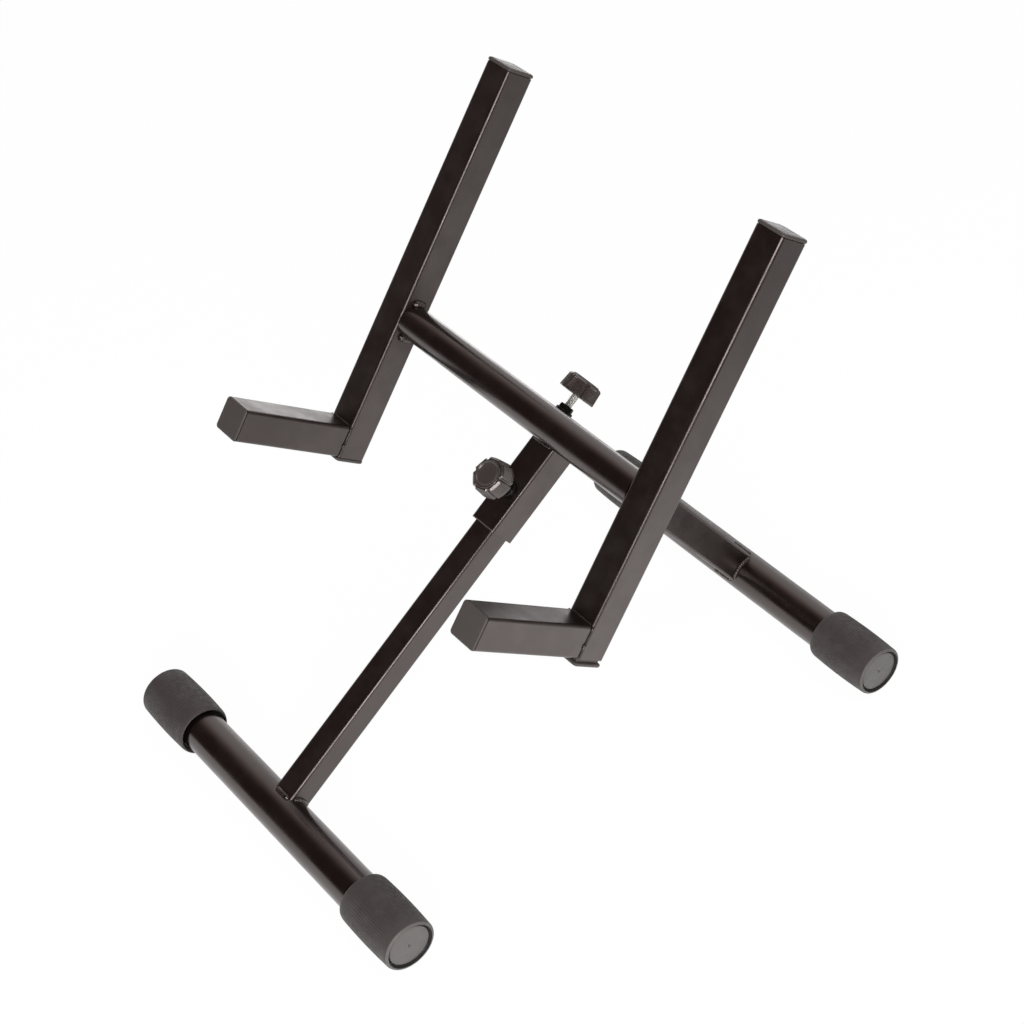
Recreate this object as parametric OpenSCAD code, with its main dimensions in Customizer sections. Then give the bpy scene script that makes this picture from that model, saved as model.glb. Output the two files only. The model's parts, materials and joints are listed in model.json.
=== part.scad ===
// Tilt-back stand for a guitar amplifier: two crossed legs on round base tubes,
// a telescoping front leg, a telescoping support frame with two arms and lips,
// and a clamp screw with a knob on each telescoping joint.
// Millimetres. +X is the right-hand side, -Y the front, +Z up.
// The origin is on the floor, midway between the two base tubes.

/* [Legs] */
// Along the front leg, from the base tube's axis to the rear leg's axis
front_reach = 336; // [300:1:400]
// Along the rear leg, from the base tube's axis to the front leg's axis
rear_reach = 276; // [250:1:340]
// Along the rear leg, from the front leg's axis up to the crossbar's axis
crossbar_offset = 58; // [52:1:80]
// Length of the sleeve that takes the front leg
sleeve_len = 72; // [66:1:100]
// Outer width of the square rear leg and sleeve
leg_tube = 25; // [23:0.5:30]
// Wall of the square rear leg and sleeve
leg_wall = 2; // [1.5:0.1:2.5]
// Gap on each side between a sliding tube and the tube around it
slide_gap = 0.5; // [0.3:0.1:0.8]
// Wall of the square tubes that slide
slide_wall = 1.5; // [1:0.1:2]
// Gap left at the inner stop of each sliding tube
stop_gap = 0.3; // [0.3:0.1:1]

/* [Base tubes and feet] */
// Outer diameter of the two base tubes
base_d = 32; // [30:0.5:40]
// Wall of the base tubes
base_wall = 1.5; // [1:0.1:2.5]
// Overall width across the ends of the feet
base_w = 323; // [280:1:400]
// Length of a rubber foot
foot_len = 57; // [50:1:75]
// Rubber over the base tube at the fattest part of a foot
foot_wall = 5; // [4.5:0.5:8]
// Rubber across the closed end of a foot
foot_end = 5; // [4:0.5:8]
// Radial gap between a foot and its tube
foot_gap = 0.1; // [0.05:0.05:0.3]

/* [Support frame] */
// Outer diameter of the crossbar
crossbar_d = 25; // [23:0.5:30]
// Wall of the crossbar
crossbar_wall = 1.5; // [1:0.1:2.5]
// Clear width between the two arms
arm_clear_w = 258; // [200:1:330]
// Outer width of the square arms and lips
arm_tube = 25; // [23:0.5:30]
// Wall of the arms and lips
arm_wall = 1.5; // [1:0.1:2.5]
// Arm above the crossbar's axis
arm_above = 193; // [150:1:260]
// Arm below the crossbar's axis
arm_below = 114; // [90:1:140]
// Length of a lip in front of its arm
lip_len = 98; // [70:1:140]
// Angle of the arms to the front leg
arm_tilt = 18; // [10:0.5:26]
// Length of stem inside the rear leg at rest
stem_insert = 110; // [100:1:130]

/* [Caps] */
// Thickness of the flange of an arm's cap
cap_flange = 3.2; // [2:0.1:4]
// How far that flange stands out past the arm on each side
cap_over = 0.3; // [0:0.1:0.6]
// Thickness of the flange of a lip's plug
plug_flange = 2; // [1.5:0.1:3]
// Depth of a cap's plug inside its tube
cap_plug = 12; // [8:1:16]
// Gap between a cap's plug and the inside of its tube
cap_gap = 0.2; // [0.1:0.05:0.4]
// Gap under the flange of the lower cap on the right arm, which isn't pushed home
loose_cap_gap = 2.5; // [0:0.1:4]
// Size of the step round a flange's outer edge
cap_edge = 0.8; // [0.4:0.1:1.2]

/* [Clamps] */
// Nominal diameter of the clamp screws
screw_d = 6; // [5:0.5:8]
// Thread pitch of the clamp screws
screw_pitch = 1; // [0.8:0.05:1.25]
// Radial gap between a screw and its nut
thread_gap = 0.05; // [0.02:0.01:0.1]
// From a tube's open end to the axis of its clamp screw
clamp_inset = 31; // [20:1:38]
// Gap between a screw's tip and the tube that it clamps
tip_gap = 0.3; // [0.2:0.05:0.6]
// Width across the flats of a weld nut
nut_flats = 10; // [9:0.5:11]
// Height of a weld nut above its flange
nut_h = 3.4; // [3:0.1:8]
// Diameter of a weld nut's flange
nut_flange_d = 13.5; // [13:0.5:18]
// Thickness of a weld nut's flange
nut_flange_h = 2.4; // [1:0.1:3]
// Thread showing between a nut and its knob
screw_show = 9.2; // [5:0.1:14]
// Diameter of a knob at its base
knob_d = 29.2; // [26:0.2:36]
// How much narrower the knob is at its top
knob_taper = 1.4; // [1:0.1:4]
// Height of a knob
knob_h = 12.5; // [10:0.1:16]
// Lobes round a knob
knob_lobes = 6; // [4:1:8]
// Depth of the grooves between a knob's lobes
lobe_groove = 1.5; // [1:0.1:2]
// Diameter of the dished disc in a knob
disc_d = 21.6; // [18:0.2:22]
// Thickness of the dished disc
disc_t = 2.4; // [2:0.1:3]
// Degrees that the upper knob stands turned at rest
upper_knob_turn = 21; // [0:1:60]
// Degrees that the lower knob stands turned at rest
lower_knob_turn = 14; // [0:1:60]

/* [Welds] */
// Radius of a weld bead
weld_r = 2.4; // [1.5:0.1:3]
// Radius of the tacks beside a lip, in the grooves that the arm's round corners leave
tack_r = 1.4; // [1.1:0.1:1.6]
// Length of each tack
tack_len = 9; // [5:1:20]
// Degrees of the crossbar's round that each bead at an arm covers
crossbar_seam_angle = 50; // [30:1:60]

/* [Hidden] */

$fn = 64;
// An overrun that makes a cut clear the face it starts from
cut = 1;
// The length of a cutter that has to reach right across a tube
through = 2 * leg_tube;
// The outside corners of every square tube, and the corners of its bore
corner_r = 2.4;
bore_corner_r = 0.9;
// Radial gap round a clamp screw in the hole through its tube's wall
screw_hole_gap = 0.5;
// Sides of a weld bead's round section
bead_sides = 32;
// Where two welded pieces meet on a round surface
seam_gap = 0.05;

leg_half = leg_tube / 2;
slide_tube = leg_tube - 2 * (leg_wall + slide_gap);
slide_half = slide_tube / 2;
arm_half = arm_tube / 2;
arm_x = (arm_clear_w + arm_tube) / 2;
base_r = base_d / 2;
crossbar_r = crossbar_d / 2;

// The two legs meet at a right angle, so the base is the third side of the triangle
base_span = sqrt(front_reach * front_reach + rear_reach * rear_reach);
leg_angle = atan(rear_reach / front_reach);
foot_r = base_r + foot_wall;
joint_y = front_reach * cos(leg_angle) - base_span / 2;
joint_z = front_reach * sin(leg_angle) + foot_r;

// Rear leg, from its open upper end to the base tube
rear_leg_top = crossbar_offset - crossbar_r - stop_gap;
upper_clamp_y = clamp_inset - rear_leg_top;

// Front leg in its sleeve
sleeve_top = -leg_half;
sleeve_end = sleeve_top - sleeve_len;
lower_clamp_z = sleeve_end + clamp_inset;
glide_flange = 1.5;
leg_top = sleeve_top - stop_gap - glide_flange;

// Stem of the support frame
stem_end = stem_insert - rear_leg_top;

// Feet
foot_x = base_w / 2;
base_tube_w = base_w - 2 * foot_end;
foot_mouth_depth = 6;
foot_mouth_gap = 2.2;
foot_bulge = 1.4;
foot_rim_r = foot_r - foot_bulge;
foot_edge_r = 2.4;
// The lip round the recessed disc in a foot's closed end
foot_lip = 2;
foot_dish_r = foot_rim_r - foot_lip;
foot_dish_depth = 1.5;
foot_dish_slope = 0.3;
foot_mouth_edge = 2.4;
// How far round its bulge a foot's side runs, from its closed end to its mouth
foot_curve = 115;
foot_steps = 12;
foot_side_len = foot_len - foot_edge_r - foot_mouth_edge;

// Clamp screws, knobs and nuts, measured from the face that the nut is welded to
nut_top = nut_flange_h + nut_h;
knob_base = nut_top + screw_show;
screw_r = screw_d / 2;
thread_depth = 0.55 * screw_pitch;
// Plain screw before its first turn of thread, and after its last
thread_start = 0.5;
thread_end = 0.2;
tip_depth = leg_wall + slide_gap - tip_gap;
screw_head_r = screw_r + 2;
screw_head_h = 3;
screw_head_gap = 0.4;
// How far the disc's rim stands out of the knob, and how its edge and its dish are cut
disc_proud = 0.8;
disc_edge = 0.4;
disc_rim = 1.2;
disc_dish_depth = 1.2;
disc_steps = 8;
disc_seat = knob_h + disc_proud - disc_edge / 2 - disc_t;
head_floor = disc_seat - screw_head_h - screw_head_gap;
knob_gap = 0.1;
knob_edge = 0.8;

// Caps and glides
cap_plug_wall = 1.5;

STEEL = [0.09, 0.085, 0.08];
RUBBER = [0.16, 0.16, 0.16];
PLASTIC = [0.07, 0.07, 0.07];
ZINC = [0.72, 0.72, 0.70];

// ---- Places ----

// At the crossing of the legs: Y runs down the rear leg and Z up the front leg
module at_crossing() {
    translate([0, joint_y, joint_z]) rotate([leg_angle - 90, 0, 0]) children();
}

// At the crossbar's axis: Z runs up the arms and -Y along the lips
module at_crossbar() {
    at_crossing() translate([0, -crossbar_offset, 0]) rotate([arm_tilt, 0, 0]) children();
}

// At the upper clamp, on the rear leg's upper face: Z runs out along the screw
module at_upper_clamp() {
    at_crossing() translate([0, upper_clamp_y, leg_half]) children();
}

// At the lower clamp, on the sleeve's front face: Z runs out along the screw
module at_lower_clamp() {
    at_crossing() translate([0, -leg_half, lower_clamp_z]) rotate([90, 0, 0]) children();
}

// ---- Shapes ----

// A square with round corners
module round_square(side, r) {
    square([side, side - 2 * r], center = true);
    square([side - 2 * r, side], center = true);
    for (x = [-1, 1], y = [-1, 1]) {
        translate([x, y] * (side / 2 - r)) circle(r);
    }
}

// A square tube along Z from z0 to z1
module square_tube(side, wall, z0, z1) {
    translate([0, 0, z0]) linear_extrude(z1 - z0) difference() {
        round_square(side, corner_r);
        round_square(side - 2 * wall, bore_corner_r);
    }
}

// A solid square bar along Z from z0 to z1
module square_bar(side, z0, z1) {
    translate([0, 0, z0]) linear_extrude(z1 - z0) round_square(side, corner_r);
}

// A round bar along X, centred
module x_bar(r, length) {
    rotate([0, 90, 0]) cylinder(r = r, h = length, center = true);
}

// A round tube along X, centred
module x_tube(r, wall, length) {
    difference() {
        x_bar(r, length);
        x_bar(r - wall, length + 2 * cut);
    }
}

// Turns what is drawn along +Z so that it lies along +Y
module along_y() {
    rotate([-90, 0, 0]) children();
}

// Four weld beads round a square tube that stands on a round bar along X; the tube rises along Z
module saddle_beads(side, bar_r) {
    half = side / 2;
    seam_z = sqrt(bar_r * bar_r - half * half);
    reach = asin((half - weld_r - seam_gap) / bar_r);
    difference() {
        union() {
            for (y = [-1, 1]) {
                translate([0, y * half, seam_z]) x_bar(weld_r, side - 2 * corner_r);
            }
            for (x = [-1, 1]) {
                translate([x * half, 0, 0]) rotate([90, 0, 90]) rotate([0, 0, 90 - reach])
                    rotate_extrude(angle = 2 * reach) translate([bar_r, 0]) circle(weld_r, $fn = bead_sides);
            }
        }
        x_bar(bar_r, through);
        square_bar(side, 0, through);
    }
}

// The outline of a foot in (radius, height), from its closed end at height 0 to its mouth
function foot_profile() = concat(
    [[0, foot_dish_depth], [foot_dish_r, foot_dish_depth], [foot_dish_r + foot_dish_slope, 0]],
    [for (i = [0:foot_steps / 2])
        let (a = 180 * i / foot_steps)
        [foot_rim_r - foot_edge_r * (1 - sin(a)), foot_edge_r * (1 - cos(a))]],
    [for (i = [1:foot_steps])
        let (t = i / foot_steps)
        [foot_rim_r + foot_bulge * sin(foot_curve * t), foot_edge_r + foot_side_len * t]],
    [[foot_rim_r + foot_bulge * sin(foot_curve) - foot_mouth_edge / 3, foot_len - foot_mouth_edge / 3],
     [base_r + foot_mouth_gap + foot_mouth_edge / 2, foot_len], [base_r + foot_mouth_gap, foot_len],
     [base_r + foot_mouth_gap, foot_len - foot_mouth_depth],
     [base_r + foot_gap, foot_len - foot_mouth_depth - foot_mouth_gap],
     [base_r + foot_gap, foot_end], [0, foot_end]]
);

// A rubber foot pushed on the end of a base tube; side is -1 for left and 1 for right
module foot(side) {
    translate([side * foot_x, 0, 0]) rotate([0, -side * 90, 0]) rotate_extrude() polygon(foot_profile());
}

// A plastic cap for the end of a square tube: plug along -Z, flange on +Z, seat at z = 0
module tube_cap(side, wall, flange, over) {
    bore = side - 2 * wall - 2 * cap_gap;
    translate([0, 0, -cap_plug]) linear_extrude(cap_plug) difference() {
        round_square(bore, bore_corner_r);
        round_square(bore - 2 * cap_plug_wall, bore_corner_r);
    }
    flange_w = side + 2 * over;
    linear_extrude(flange - cap_edge) round_square(flange_w, corner_r);
    translate([0, 0, flange - cap_edge]) linear_extrude(cap_edge)
        round_square(flange_w - 2 * cap_edge, corner_r);
}

// A plastic glide in the end of a sliding tube: plug along -Z, flange on +Z, seat at z = 0
module glide() {
    bore = slide_tube - 2 * slide_wall - 2 * cap_gap;
    translate([0, 0, -cap_plug]) linear_extrude(cap_plug) round_square(bore, bore_corner_r);
    linear_extrude(glide_flange) round_square(slide_tube, corner_r);
}

// A hex nut with a round flange, welded at z = 0
module weld_nut() {
    difference() {
        union() {
            cylinder(d = nut_flange_d, h = nut_flange_h);
            cylinder(d = nut_flats / cos(30), h = nut_top, $fn = 6);
        }
        translate([0, 0, -cut]) cylinder(r = screw_r + thread_gap, h = nut_top + 2 * cut);
    }
}

// Half of a screw's outline in (radius, height), with a groove for each turn of the thread
function screw_profile(length) =
    let (turns = floor((length - thread_start - thread_end) / screw_pitch))
    concat(
        [[0, 0], [screw_r - thread_depth, 0]],
        [for (i = [0:turns - 1], k = [0, 1])
            [screw_r - k * thread_depth, thread_start + (i + (1 + k) / 2) * screw_pitch]],
        [[screw_r, thread_start + thread_end + turns * screw_pitch], [screw_r, length], [0, length]]
    );

// A clamp screw: its tip is below z = 0, and its round head is buried in the knob
module clamp_screw() {
    shank = tip_depth + knob_base + head_floor;
    translate([0, 0, -tip_depth]) {
        rotate_extrude() polygon(screw_profile(shank));
        translate([0, 0, shank]) cylinder(r = screw_head_r, h = screw_head_h);
    }
}

// A knob with broad lobes, turned by an angle; its base is at z = 0 and its axis is Z
module knob_body(turn) {
    top_r = (knob_d - knob_taper) / 2;
    side_lean = atan(knob_taper / 2 / knob_h);
    groove_side = lobe_groove * sqrt(2);
    difference() {
        rotate_extrude() polygon([
            [screw_r + knob_gap, 0], [knob_d / 2 - knob_edge, 0], [knob_d / 2, knob_edge],
            [top_r, knob_h - knob_edge], [top_r - knob_edge, knob_h], [disc_d / 2 + knob_gap, knob_h],
            [disc_d / 2 + knob_gap, disc_seat], [screw_head_r + knob_gap, disc_seat],
            [screw_head_r + knob_gap, head_floor - knob_gap], [screw_r + knob_gap, head_floor - knob_gap]
        ]);
        for (i = [0:knob_lobes - 1]) {
            rotate([0, 0, turn + 360 * i / knob_lobes]) translate([knob_d / 2, 0, 0])
                rotate([0, -side_lean, 0]) rotate([0, 0, 45])
                cube([groove_side, groove_side, through], center = true);
        }
    }
}

// The dished disc that closes a knob over its screw's head
module knob_disc() {
    disc_r = disc_d / 2;
    dish_r = disc_r - disc_rim;
    rim_top = knob_h + disc_proud;
    dish_top = rim_top - disc_edge / 2;
    rotate_extrude() polygon(concat(
        [[0, disc_seat], [disc_r, disc_seat], [disc_r, rim_top - disc_edge], [disc_r - disc_edge, rim_top],
         [dish_r, rim_top]],
        [for (i = [disc_steps:-1:0])
            [dish_r * i / disc_steps, dish_top - disc_dish_depth * cos(90 * i / disc_steps)]]
    ));
}

// ---- Main frame: rear leg, rear base, sleeve ----

module rear_leg() {
    color(STEEL) at_crossing() difference() {
        along_y() square_tube(leg_tube, leg_wall, -rear_leg_top, rear_reach);
        translate([0, rear_reach, 0]) x_bar(base_r + seam_gap, through);
        translate([0, upper_clamp_y, 0]) cylinder(r = screw_r + screw_hole_gap, h = leg_tube);
    }
}

module rear_base_tube() {
    color(STEEL) translate([0, base_span / 2, foot_r]) x_tube(base_r, base_wall, base_tube_w);
}

module front_sleeve() {
    color(STEEL) at_crossing() difference() {
        square_tube(leg_tube, leg_wall, sleeve_end, sleeve_top);
        translate([0, 0, lower_clamp_z]) rotate([90, 0, 0])
            cylinder(r = screw_r + screw_hole_gap, h = leg_tube);
    }
}

module upper_weld_nut() {
    color(STEEL) at_upper_clamp() weld_nut();
}

module lower_weld_nut() {
    color(STEEL) at_lower_clamp() weld_nut();
}

// The sleeve's two beads under the rear leg, and the four on the rear base tube
module frame_welds() {
    bead_w = leg_tube - 2 * corner_r;
    color(STEEL) at_crossing() {
        for (y = [-1, 1]) {
            difference() {
                translate([0, y * leg_half, sleeve_top]) x_bar(weld_r, bead_w);
                square_bar(leg_tube, sleeve_end, sleeve_top + cut);
                cube([through, through, leg_tube], center = true);
            }
        }
        translate([0, rear_reach, 0]) rotate([90, 0, 0]) saddle_beads(leg_tube, base_r);
    }
}

module rear_foot_left() {
    color(RUBBER) translate([0, base_span / 2, foot_r]) foot(-1);
}

module rear_foot_right() {
    color(RUBBER) translate([0, base_span / 2, foot_r]) foot(1);
}

// ---- Front leg ----

module front_leg() {
    color(STEEL) at_crossing() difference() {
        square_tube(slide_tube, slide_wall, -front_reach, leg_top);
        translate([0, 0, -front_reach]) x_bar(base_r + seam_gap, through);
    }
}

module front_base_tube() {
    color(STEEL) translate([0, -base_span / 2, foot_r]) x_tube(base_r, base_wall, base_tube_w);
}

module front_leg_weld() {
    color(STEEL) at_crossing() translate([0, 0, -front_reach]) saddle_beads(slide_tube, base_r);
}

module front_leg_glide() {
    color(PLASTIC) at_crossing() translate([0, 0, leg_top]) glide();
}

module front_foot_left() {
    color(RUBBER) translate([0, -base_span / 2, foot_r]) foot(-1);
}

module front_foot_right() {
    color(RUBBER) translate([0, -base_span / 2, foot_r]) foot(1);
}

// ---- Support frame ----

module crossbar() {
    color(STEEL) at_crossbar() x_tube(crossbar_r, crossbar_wall, arm_clear_w);
}

module support_stem() {
    color(STEEL) at_crossing() difference() {
        along_y() square_tube(slide_tube, slide_wall, -crossbar_offset, stem_end - glide_flange);
        translate([0, -crossbar_offset, 0]) x_bar(crossbar_r + seam_gap, through);
    }
}

module stem_glide() {
    color(PLASTIC) at_crossing() translate([0, stem_end - glide_flange, 0]) along_y() glide();
}

// One arm; side is -1 for left and 1 for right
module arm(side) {
    at_crossbar() translate([side * arm_x, 0, 0]) square_tube(arm_tube, arm_wall, -arm_below, arm_above);
}

// One lip, flush with its arm's lower end
module lip(side) {
    at_crossbar() translate([side * arm_x, 0, arm_half - arm_below]) rotate([90, 0, 0])
        square_tube(arm_tube, arm_wall, arm_half, arm_half + lip_len);
}

module left_arm() {
    color(STEEL) arm(-1);
}

module right_arm() {
    color(STEEL) arm(1);
}

module left_lip() {
    color(STEEL) lip(-1);
}

module right_lip() {
    color(STEEL) lip(1);
}

// Beads above and below the crossbar's ends, tacks on both sides of each lip, and beads on the stem
module support_welds() {
    color(STEEL) {
        at_crossbar() for (side = [-1, 1]) {
            for (turn = [0, 180]) {
                difference() {
                    translate([side * arm_clear_w / 2, 0, 0]) rotate([turn, 0, 0]) rotate([90, 0, 90])
                        rotate([0, 0, 90 - crossbar_seam_angle / 2])
                        rotate_extrude(angle = crossbar_seam_angle)
                        translate([crossbar_r, 0]) circle(weld_r, $fn = bead_sides);
                    x_bar(crossbar_r, arm_clear_w + arm_tube);
                    translate([side * arm_x, 0, 0]) square_bar(arm_tube, -arm_below, arm_above);
                }
            }
            translate([side * arm_x, -arm_half, arm_half - arm_below]) for (edge = [-1, 1]) {
                difference() {
                    translate([edge * arm_half, 0, 0]) cylinder(r = tack_r, h = tack_len, center = true);
                    translate([0, arm_half, 0]) square_bar(arm_tube, -tack_len, tack_len);
                    translate([0, -arm_half, 0]) cube(arm_tube, center = true);
                }
            }
        }
        at_crossing() translate([0, -crossbar_offset, 0]) for (z = [-1, 1]) {
            difference() {
                translate([0, sqrt(crossbar_r * crossbar_r - slide_half * slide_half), z * slide_half])
                    x_bar(weld_r, slide_tube - 2 * corner_r);
                x_bar(crossbar_r, through);
                along_y() square_bar(slide_tube, 0, through);
            }
        }
    }
}

// A cap on one end of an arm; end is 1 for the top and -1 for the bottom
module arm_cap(side, end, gap) {
    seat = (end > 0 ? arm_above : arm_below) + gap;
    color(PLASTIC) at_crossbar() translate([side * arm_x, 0, end * seat])
        rotate([end > 0 ? 0 : 180, 0, 0]) tube_cap(arm_tube, arm_wall, cap_flange, cap_over);
}

module left_arm_top_cap() {
    arm_cap(-1, 1, 0);
}

module left_arm_bottom_cap() {
    arm_cap(-1, -1, 0);
}

module right_arm_top_cap() {
    arm_cap(1, 1, 0);
}

module right_arm_bottom_cap() {
    arm_cap(1, -1, loose_cap_gap);
}

// The plug in the front end of a lip
module lip_plug(side) {
    color(PLASTIC) at_crossbar() translate([side * arm_x, -arm_half - lip_len, arm_half - arm_below])
        rotate([90, 0, 0]) tube_cap(arm_tube, arm_wall, plug_flange, 0);
}

module left_lip_plug() {
    lip_plug(-1);
}

module right_lip_plug() {
    lip_plug(1);
}

// ---- Clamps ----

module upper_clamp_screw() {
    color(ZINC) at_upper_clamp() clamp_screw();
}

module upper_knob() {
    color(PLASTIC) at_upper_clamp() translate([0, 0, knob_base]) knob_body(upper_knob_turn);
}

module upper_knob_disc() {
    color(PLASTIC) at_upper_clamp() translate([0, 0, knob_base]) knob_disc();
}

module lower_clamp_screw() {
    color(ZINC) at_lower_clamp() clamp_screw();
}

module lower_knob() {
    color(PLASTIC) at_lower_clamp() translate([0, 0, knob_base]) knob_body(lower_knob_turn);
}

module lower_knob_disc() {
    color(PLASTIC) at_lower_clamp() translate([0, 0, knob_base]) knob_disc();
}

rear_leg();
rear_base_tube();
front_sleeve();
upper_weld_nut();
lower_weld_nut();
frame_welds();
rear_foot_left();
rear_foot_right();
front_leg();
front_base_tube();
front_leg_weld();
front_leg_glide();
front_foot_left();
front_foot_right();
crossbar();
support_stem();
stem_glide();
left_arm();
right_arm();
left_lip();
right_lip();
support_welds();
left_arm_top_cap();
left_arm_bottom_cap();
right_arm_top_cap();
right_arm_bottom_cap();
left_lip_plug();
right_lip_plug();
upper_clamp_screw();
upper_knob();
upper_knob_disc();
lower_clamp_screw();
lower_knob();
lower_knob_disc();
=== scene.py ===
"""Looks, light and camera for a tilt-back amplifier stand of black steel tube."""

import json
import math

import bpy
from mathutils import Matrix, Quaternion, Vector, noise


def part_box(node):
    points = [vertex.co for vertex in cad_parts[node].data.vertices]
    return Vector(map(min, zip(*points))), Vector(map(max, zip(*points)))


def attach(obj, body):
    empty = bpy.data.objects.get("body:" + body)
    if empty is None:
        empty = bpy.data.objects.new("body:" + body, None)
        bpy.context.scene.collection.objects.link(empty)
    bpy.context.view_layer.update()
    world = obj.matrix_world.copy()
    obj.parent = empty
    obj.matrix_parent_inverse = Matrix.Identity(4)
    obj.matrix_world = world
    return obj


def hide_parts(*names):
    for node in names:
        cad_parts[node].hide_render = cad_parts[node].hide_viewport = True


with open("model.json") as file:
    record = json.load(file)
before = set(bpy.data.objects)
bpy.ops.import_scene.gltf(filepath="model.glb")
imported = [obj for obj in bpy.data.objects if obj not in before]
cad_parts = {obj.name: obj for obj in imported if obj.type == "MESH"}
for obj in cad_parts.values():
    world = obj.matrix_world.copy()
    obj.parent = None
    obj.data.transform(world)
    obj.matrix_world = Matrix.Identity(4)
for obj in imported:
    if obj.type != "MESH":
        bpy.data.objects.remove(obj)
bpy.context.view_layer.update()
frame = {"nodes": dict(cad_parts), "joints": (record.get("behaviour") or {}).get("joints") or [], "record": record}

# ---- The frame's own places and directions ----

MM = 0.001
TURN = 2 * math.pi
SIDE = Vector((1, 0, 0))
UP = Vector((0, 0, 1))
SIDES = (("left", -1), ("right", 1))
joints = {joint["name"]: joint for joint in frame["joints"]}
mounts = {mount["name"]: mount for mount in frame["record"]["mounts"]}
LEG_UP = -Vector(joints["front_leg_slide"]["axis"])
REAR_DOWN = -Vector(joints["support_slide"]["axis"])
ARM_UP = Vector(mounts["left_lip_top"]["axis"])
ARM_FRONT = SIDE.cross(ARM_UP)


def centre(node):
    """The middle of a CAD node's box."""
    low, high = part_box(node)
    return (low + high) / 2


def reach(node, direction):
    """How far a CAD node lies along a direction: its least and its greatest value."""
    along = [vertex.co.dot(direction) for vertex in frame["nodes"][node].data.vertices]
    return min(along), max(along)


def size_along(node, direction):
    """A CAD node's size along a direction."""
    low, high = reach(node, direction)
    return high - low


FRONT_BASE = centre("front_base_tube")
REAR_BASE = centre("rear_base_tube")
CROSSING = FRONT_BASE + LEG_UP * (REAR_BASE - FRONT_BASE).dot(LEG_UP)
CROSSBAR = centre("crossbar")
ARM_X = centre("right_arm").x
LEG_TUBE = size_along("front_sleeve", SIDE)
SLIDE_TUBE = size_along("front_leg", SIDE)
ARM_TUBE = size_along("right_arm", SIDE)
BASE_R = size_along("front_base_tube", UP) / 2
CROSSBAR_R = size_along("crossbar", UP) / 2
CORNER_R = 2.4 * MM


def placed(origin, z_axis, x_axis=SIDE):
    """The matrix of a local frame with its Z along z_axis and its X as near x_axis as can be."""
    z = z_axis.normalized()
    y = z.cross(x_axis).normalized()
    return Matrix.Translation(origin) @ Matrix((y.cross(z), y, z)).transposed().to_4x4()


# ---- Materials ----


class Nodes:
    """A node tree being built, where each value can also be another node's output."""

    def __init__(self, tree):
        self.tree = tree

    def feed(self, socket, value):
        """Sets a socket to a value, or links another node's output to it."""
        if isinstance(value, bpy.types.NodeSocket):
            self.tree.links.new(value, socket)
        else:
            socket.default_value = value

    def add(self, kind, inputs=None, **settings):
        """A new node with some of its settings and inputs given."""
        node = self.tree.nodes.new(kind)
        for name, value in settings.items():
            setattr(node, name, value)
        for name, value in (inputs or {}).items():
            self.feed(node.inputs[name], value)
        return node

    def math(self, operation, *values):
        """The output of a math node."""
        return self.add("ShaderNodeMath", dict(enumerate(values)), operation=operation).outputs[0]

    def product(self, first, *others):
        """The product of several values."""
        for other in others:
            first = self.math("MULTIPLY", first, other)
        return first

    def ramp(self, value, low, high, to_low=0.0, to_high=1.0):
        """value taken smoothly from low..high to to_low..to_high, and held at both ends."""
        limits = {"From Min": low, "From Max": high, "To Min": to_low, "To Max": to_high}
        inputs = {"Value": value, **limits}
        node = self.add("ShaderNodeMapRange", inputs, interpolation_type="SMOOTHSTEP")
        return node.outputs["Result"]

    def axes(self, vector):
        """The X, Y and Z of a vector."""
        return self.add("ShaderNodeSeparateXYZ", {"Vector": vector}).outputs

    def two_colours(self, mask, under, over):
        """The colour under where the mask is 0, and the colour over where it is 1."""
        node = self.add("ShaderNodeMix", {"Factor": mask, 6: under, 7: over}, data_type="RGBA")
        return node.outputs[2]


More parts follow.
